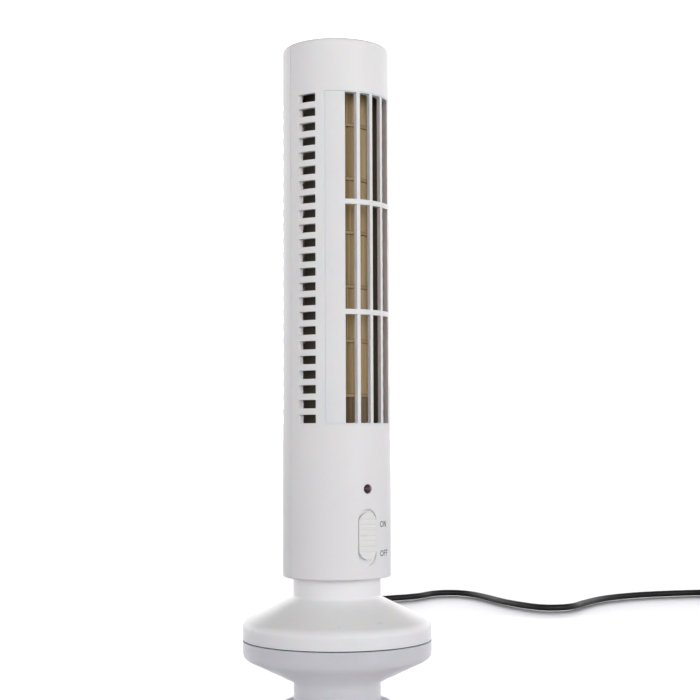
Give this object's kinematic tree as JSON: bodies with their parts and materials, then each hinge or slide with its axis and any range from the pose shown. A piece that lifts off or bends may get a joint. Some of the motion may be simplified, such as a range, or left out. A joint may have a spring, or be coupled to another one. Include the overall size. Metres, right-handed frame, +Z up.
{
  "type": "tower fan",
  "caption": "Small desktop tower fan: louvred cylinder with a barred outlet and slide switch on a weighted round base, fed by a USB cord.",
  "frame": {"origin": "centre of the underside of the base, on the table", "axes": "+Z up along the tower, -Y towards the front with the grille, lamp and switch, +X to the right when the fan is seen from its front"},
  "size_m": [0.4163, 0.1879, 0.33],
  "materials": {
    "shell_white": "satin moulded ABS",
    "grille_white": "satin moulded ABS",
    "base_white": "satin moulded ABS",
    "knob_white": "satin, ribbed",
    "guide_plastic": "moulded ABS",
    "impeller_tan": "semi-matt filled plastic",
    "steel": "bright zinc",
    "weight_steel": "plain steel",
    "brass": "plain",
    "magnet": "ferrite",
    "copper_winding": "enamelled winding",
    "black_plastic": "moulded nylon",
    "black_rubber": "matt",
    "cord_black": "soft PVC, slight gloss",
    "lamp_red": "tinted clear epoxy",
    "board_green": "solder mask",
    "plug_metal": "nickel plate",
    "plug_tongue": "white nylon"
  },
  "bodies": {
    "tower": {"front_shell": "shell_white", "rear_shell": "shell_white", "front_grille": "grille_white", "base_shell": "base_white", "base_plate": "base_white", "volute_wall": "guide_plastic", "tongue_wall": "guide_plastic", "top_bearing_plate": "guide_plastic", "motor_bracket": "guide_plastic", "body_screws": "steel", "base_screws": "steel", "motor_screws": "steel", "switch_screws": "steel", "motor_can": "steel", "base_weight": "weight_steel", "top_bearing_bush": "brass", "motor_terminals": "brass", "switch_terminals": "brass", "lamp_leads": "brass", "motor_magnets": "magnet", "motor_end_cap": "black_plastic", "switch_case": "black_plastic", "rubber_feet": "black_rubber", "motor_sleeve": "black_rubber", "cord_gland": "cord_black", "inner_cable": "cord_black", "switch_wire": "cord_black", "motor_wire": "cord_black", "power_cord": "cord_black", "cord_tail": "cord_black", "cord_coil": "cord_black", "usb_plug_grip": "cord_black", "indicator_lamp": "lamp_red", "lamp_board": "board_green", "usb_plug_shell": "plug_metal", "usb_plug_tongue": "plug_tongue"},
    "impeller": {"impeller_section_1": "impeller_tan", "impeller_section_2": "impeller_tan", "impeller_section_3": "impeller_tan", "impeller_section_4": "impeller_tan", "impeller_section_5": "impeller_tan", "impeller_section_6": "impeller_tan", "impeller_section_7": "impeller_tan", "impeller_end_disc": "impeller_tan", "impeller_pin": "steel", "shaft_coupling": "black_rubber", "motor_shaft": "steel", "motor_armature": "copper_winding"},
    "switch_slider": {"switch_knob": "knob_white", "switch_lever": "black_plastic"}
  },
  "joints": [
    {"name": "impeller_spin", "type": "hinge", "parent": "tower", "child": "impeller", "pos_m": [0, 0, 0.21], "axis": [0, 0, 1], "continuous": true},
    {"name": "switch_slide", "type": "slide", "parent": "tower", "child": "switch_slider", "axis": [0, 0, 1], "range_m": [-0.0032, 0]}
  ]
}
